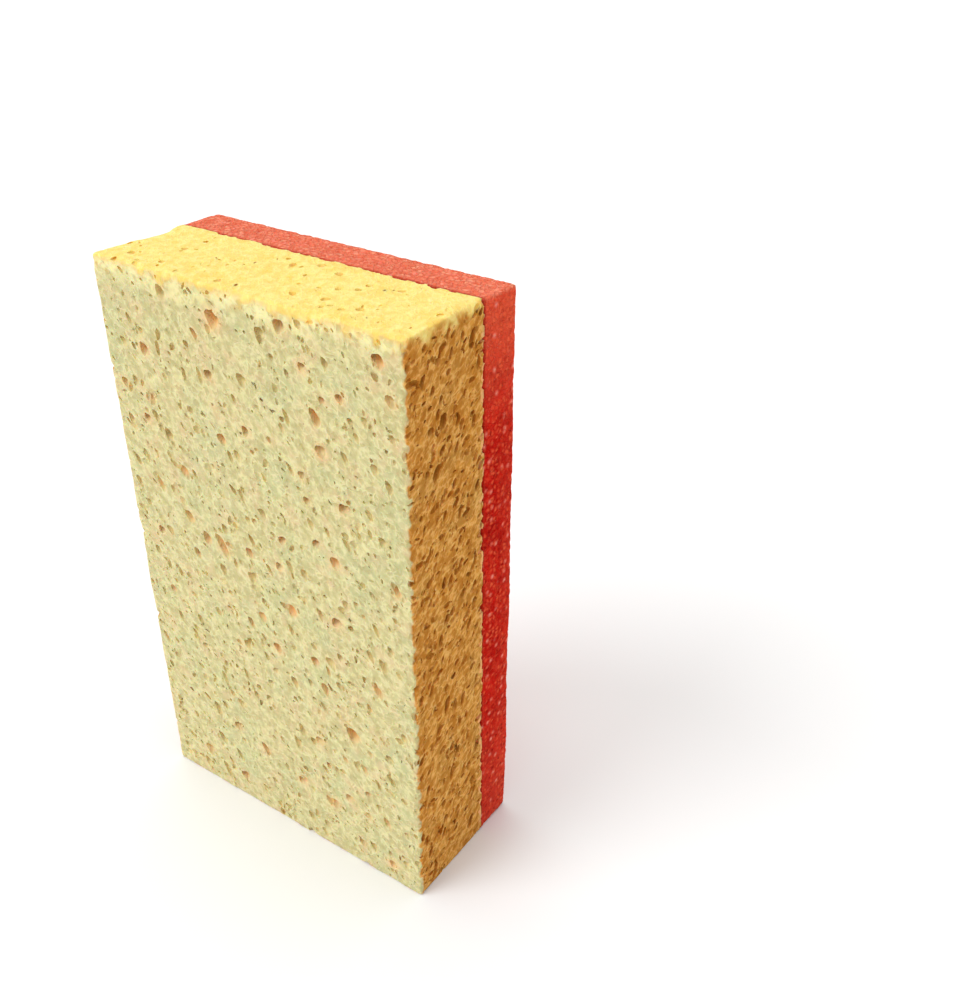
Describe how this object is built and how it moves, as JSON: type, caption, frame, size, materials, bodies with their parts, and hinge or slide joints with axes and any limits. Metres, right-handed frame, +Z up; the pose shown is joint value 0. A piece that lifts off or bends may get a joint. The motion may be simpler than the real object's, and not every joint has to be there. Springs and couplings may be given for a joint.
{
  "type": "cleaning sponge",
  "caption": "Two-layer rectangular cleaning sponge: a thick porous cellulose block bonded to a thinner pad of fine foam.",
  "frame": {"origin": "middle of the short end that the sponge stands on", "axes": "+Z up along the length, X across the width, -Y out of the broad cellulose face and +Y out of the broad foam face"},
  "size_m": [0.087, 0.038, 0.15],
  "materials": {
    "cellulose": "matte",
    "foam": "matte"
  },
  "bodies": {
    "root": {"cellulose_block": "cellulose", "foam_pad": "foam"}
  },
  "joints": []
}
